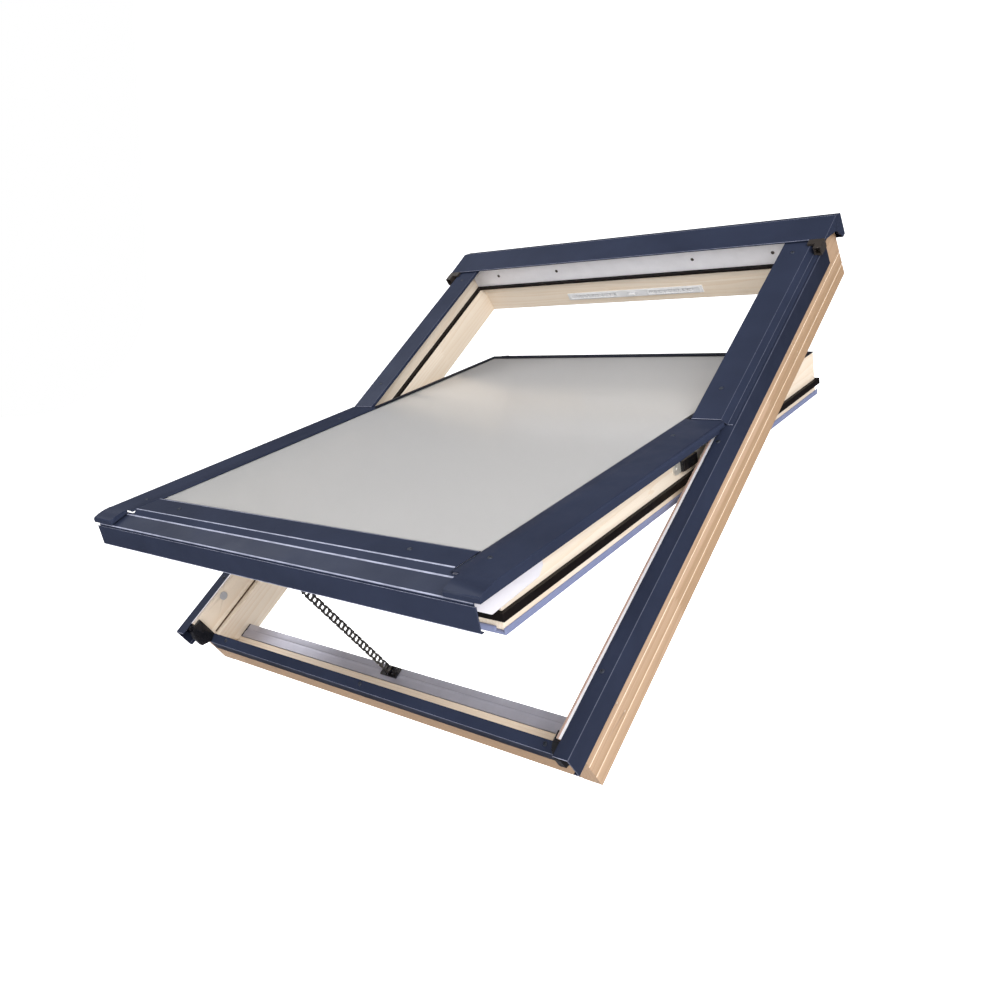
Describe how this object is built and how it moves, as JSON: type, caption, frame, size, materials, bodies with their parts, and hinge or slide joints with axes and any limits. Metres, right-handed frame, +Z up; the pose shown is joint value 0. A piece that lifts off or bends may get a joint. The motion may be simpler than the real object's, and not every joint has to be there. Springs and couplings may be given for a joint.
{
  "type": "roof skylight",
  "caption": "Centre-pivot timber roof window with sheet-metal cladding, insulated glass, a chain opener on the bottom rail and a vent slide, shown open in a sloping roof.",
  "frame": {"origin": "centre of the frame's outline, in the plane of its room-side face", "axes": "+X across the window to its right side, seen from outside and below; +Y horizontally up the roof; +Z up. The roof's slope of 42 degrees turns the window about X."},
  "size_m": [0.8032, 0.9492, 0.7455],
  "materials": {
    "pine": "clear-lacquered pine, satin",
    "cladding": "dark blue-grey coil-coated aluminium sheet, satin",
    "trim_black": "black coil-coated aluminium sheet, satin",
    "cap_plastic": "black moulded plastic, slightly glossy",
    "plug_plastic": "grey moulded plastic",
    "vent_plastic": "white moulded plastic",
    "gasket_rubber": "black-brown extruded rubber",
    "seal_brown": "brown extruded rubber",
    "alloy": "natural anodised aluminium, matt",
    "strip_grey": "lavender-grey extruded plastic",
    "end_plastic": "light grey moulded plastic",
    "zinc_steel": "zinc-plated steel",
    "screw_dark": "screw with a painted head",
    "chain_steel": "oiled bright steel",
    "motor_steel": "plated steel can",
    "gear_plastic": "black glass-filled plastic",
    "board_green": "green lacquered circuit board",
    "glass": "clear float glass, polished"
  },
  "bodies": {
    "frame": {"left_jamb": "pine", "right_jamb": "pine", "top_rail": "pine", "bottom_rail": "pine", "corner_dowels": "pine", "left_side_cladding": "cladding", "right_side_cladding": "cladding", "rail_cladding": "cladding", "top_cladding": "cladding", "left_upper_cover": "cladding", "right_upper_cover": "cladding", "cover_clips": "gear_plastic", "corner_caps": "cap_plastic", "hood_blocks": "cap_plastic", "frame_gasket": "gasket_rubber", "lower_seal_strips": "seal_brown", "jamb_strips": "alloy", "head_strip": "alloy", "head_strip_screws": "zinc_steel", "cladding_screws": "screw_dark", "jamb_plugs": "plug_plastic", "vent_grille": "vent_plastic", "left_frame_hinge": "zinc_steel", "right_frame_hinge": "zinc_steel", "frame_hinge_screws": "zinc_steel", "actuator_housing": "alloy", "housing_end_plates": "gear_plastic", "chain_guide": "gear_plastic", "gearbox": "gear_plastic", "drive_motor": "motor_steel", "control_board": "board_green"},
    "sash": {"chain_links": "chain_steel", "chain_pins": "chain_steel", "left_stile": "pine", "right_stile": "pine", "sash_top_rail": "pine", "sash_bottom_rail": "pine", "outer_pane": "glass", "inner_pane": "glass", "pane_spacer": "alloy", "glazing_seal": "gasket_rubber", "left_side_cover": "cladding", "right_side_cover": "cladding", "bottom_cover": "cladding", "cover_carrier": "alloy", "drip_flap": "cladding", "upper_trim": "trim_black", "sash_seal": "gasket_rubber", "underside_strips": "strip_grey", "left_end_piece": "end_plastic", "right_end_piece": "end_plastic", "left_sash_hinge": "zinc_steel", "right_sash_hinge": "zinc_steel", "brake_blocks": "gear_plastic", "sash_hinge_screws": "zinc_steel", "chain_bracket": "zinc_steel", "sash_cover_screws": "screw_dark"},
    "vent_slider": {"vent_slider": "vent_plastic"},
    "sprocket": {"drive_sprocket": "chain_steel"}
  },
  "joints": [
    {"name": "sash_pivot", "type": "hinge", "parent": "frame", "child": "sash", "pos_m": [0, -0.0625, 0.06941], "axis": [-1, 0, 0], "range_deg": [-26.4, 0], "deforming": ["chain_links", "chain_pins"]},
    {"name": "vent_slide", "type": "slide", "parent": "frame", "child": "vent_slider", "axis": [1, 0, 0], "range_m": [0, 0.005]},
    {"name": "sprocket_spin", "type": "hinge", "parent": "frame", "child": "sprocket", "pos_m": [0.0074, -0.33171, -0.28468], "axis": [0, 0.7431, 0.6691], "range_deg": [-1490, 0]}
  ],
  "couplings": [
    {"joint": "sprocket_spin", "follows": "sash_pivot", "ratio": 56.357}
  ]
}
